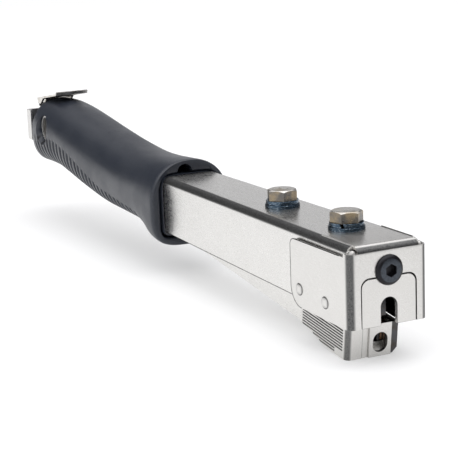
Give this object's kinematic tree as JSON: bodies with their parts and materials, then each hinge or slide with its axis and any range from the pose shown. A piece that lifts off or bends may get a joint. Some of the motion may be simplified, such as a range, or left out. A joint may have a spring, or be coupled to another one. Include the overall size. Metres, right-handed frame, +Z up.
{
  "type": "hammer tacker",
  "caption": "Hammer-action stapler with a folded steel body, striking head, swinging staple magazine that rises into the head on impact, and a ribbed rubber grip loaded from the rear.",
  "frame": {"origin": "bottom centre of the bounding box with the magazine hanging at rest", "axes": "+X from the grip towards the striking head, +Z up, away from the stapled surface, Y across the body"},
  "size_m": [0.3136, 0.035, 0.0615],
  "materials": {
    "plated_steel": "satin nickel plate",
    "tool_steel": "dark hardened",
    "blued_steel": "blued, semi-gloss",
    "bright_bolt": "bright zinc",
    "black_oxide": "black oxide, satin",
    "spring_steel": "bright wire",
    "grip_rubber": "fine matt texture",
    "bumper_rubber": "matt",
    "staple_wire": "galvanised wire"
  },
  "bodies": {
    "frame": {"frame_channel": "plated_steel", "front_cap": "plated_steel", "front_plate": "plated_steel", "spacer_block": "tool_steel", "driver_blade": "tool_steel", "hammer_block": "tool_steel", "front_screw": "black_oxide", "bolt_front": "bright_bolt", "bolt_rear": "bright_bolt", "spring_washer_front": "blued_steel", "spring_washer_rear": "blued_steel", "flat_washer_front": "blued_steel", "flat_washer_rear": "blued_steel", "rivets_left": "plated_steel", "rivets_right": "plated_steel", "pivot_pin_left": "tool_steel", "pivot_pin_right": "tool_steel", "return_spring": "spring_steel", "bumper": "bumper_rubber", "grip": "grip_rubber", "eyelet": "plated_steel", "loading_tube": "plated_steel"},
    "magazine": {"magazine_shell": "plated_steel", "magazine_cover": "plated_steel", "nose_body": "plated_steel", "nose_plate": "plated_steel", "nose_block": "tool_steel", "staple_rail": "tool_steel", "staple_strip": "staple_wire", "follower_rod": "spring_steel", "rear_stop": "tool_steel", "follower_spring": "spring_steel"},
    "follower": {"follower": "tool_steel"},
    "loader": {"end_cap": "plated_steel", "loader_rail": "plated_steel", "latch_pin": "tool_steel"},
    "latch": {"latch": "spring_steel", "latch_spring": "spring_steel"}
  },
  "joints": [
    {"name": "magazine_swing", "type": "hinge", "parent": "frame", "child": "magazine", "pos_m": [-0.0068, 0, 0.02838], "axis": [0, -1, 0], "range_deg": [0, 5], "stiffness_Nm_per_rad": 6, "springref_deg": -17.19, "deforming": ["return_spring"]},
    {"name": "follower_slide", "type": "slide", "parent": "magazine", "child": "follower", "axis": [-0.9925, 0, 0.1219], "range_m": [0, 0.034], "stiffness_N_per_m": 40, "springref_m": -0.05, "deforming": ["follower_spring"]},
    {"name": "loader_slide", "type": "slide", "parent": "frame", "child": "loader", "axis": [-1, 0, 0], "range_m": [0, 0.09]},
    {"name": "latch_hinge", "type": "hinge", "parent": "loader", "child": "latch", "pos_m": [-0.155, 0, 0.05248], "axis": [0, -1, 0], "range_deg": [0, 70], "stiffness_Nm_per_rad": 0.02, "springref_deg": -17.19}
  ]
}
